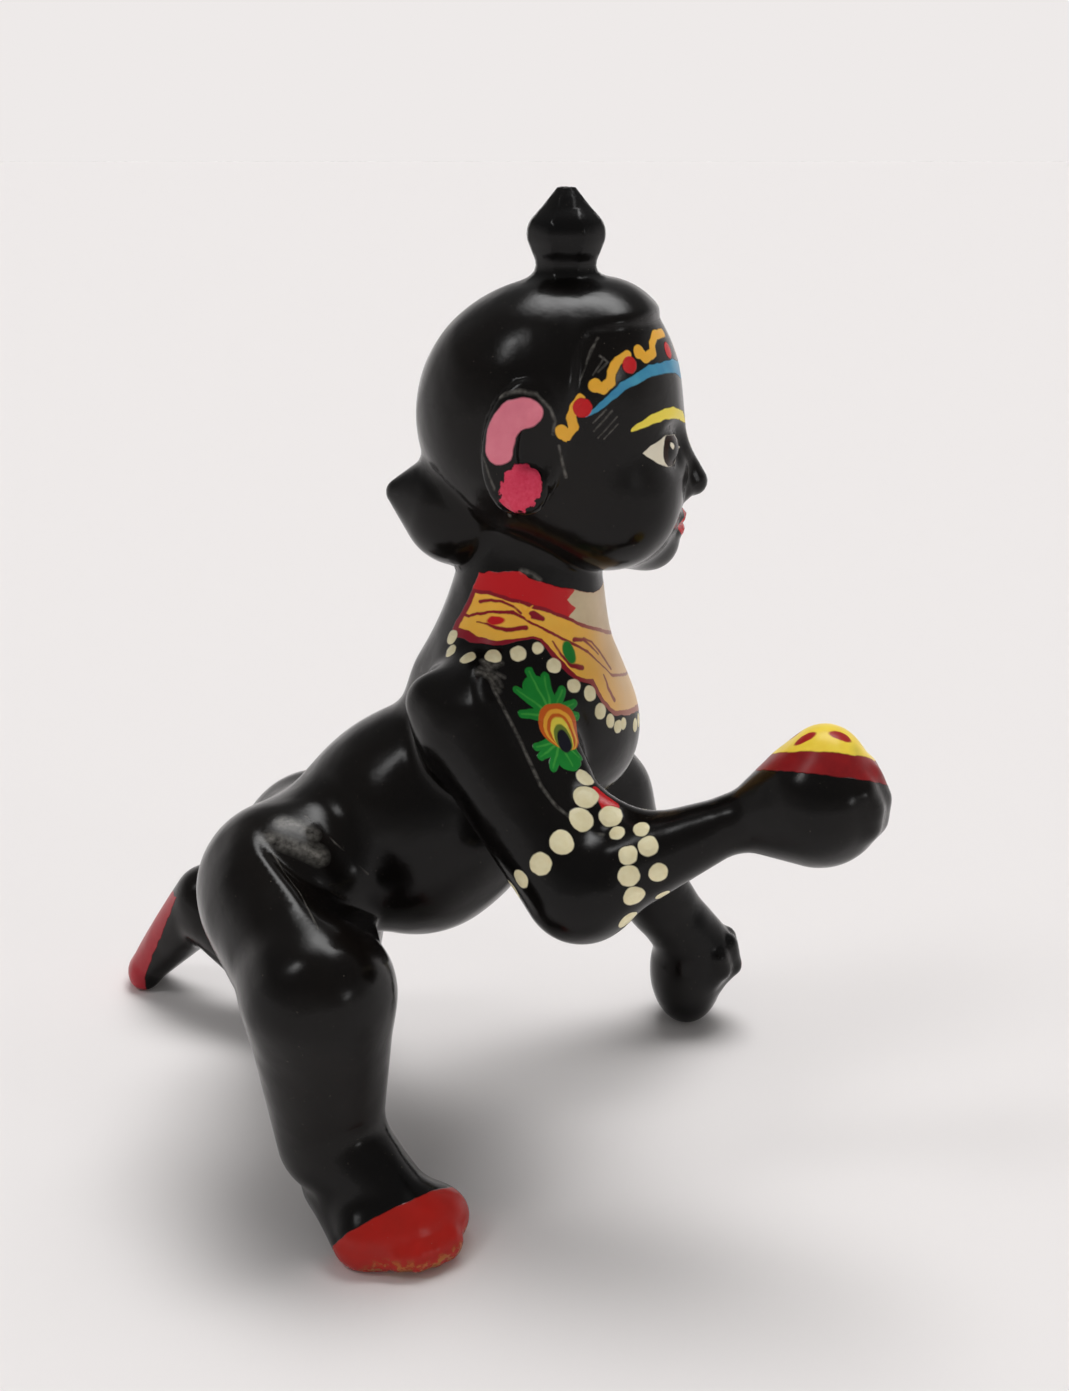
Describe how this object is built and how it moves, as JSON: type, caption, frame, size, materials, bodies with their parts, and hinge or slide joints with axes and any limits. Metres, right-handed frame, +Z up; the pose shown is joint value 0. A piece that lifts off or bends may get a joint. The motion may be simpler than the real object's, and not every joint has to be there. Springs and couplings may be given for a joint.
{
  "type": "crawling child idol",
  "caption": "Small cast figure of a crawling child with a hair knot, one palm raised with a round sweet, enamelled black and hand-painted with dotted jewellery.",
  "frame": {"origin": "centre of the bounding box's footprint, on the ground plane that the sole, knee, fist and toes stand on", "axes": "+Z up from the ground, +X the way the face looks, +Y to the figure's left"},
  "size_m": [0.0984, 0.076, 0.1145],
  "materials": {
    "black_enamel": "glossy black enamel on cast brass, with hand-painted ornament"
  },
  "bodies": {
    "root": {"idol": "black_enamel"}
  },
  "joints": []
}
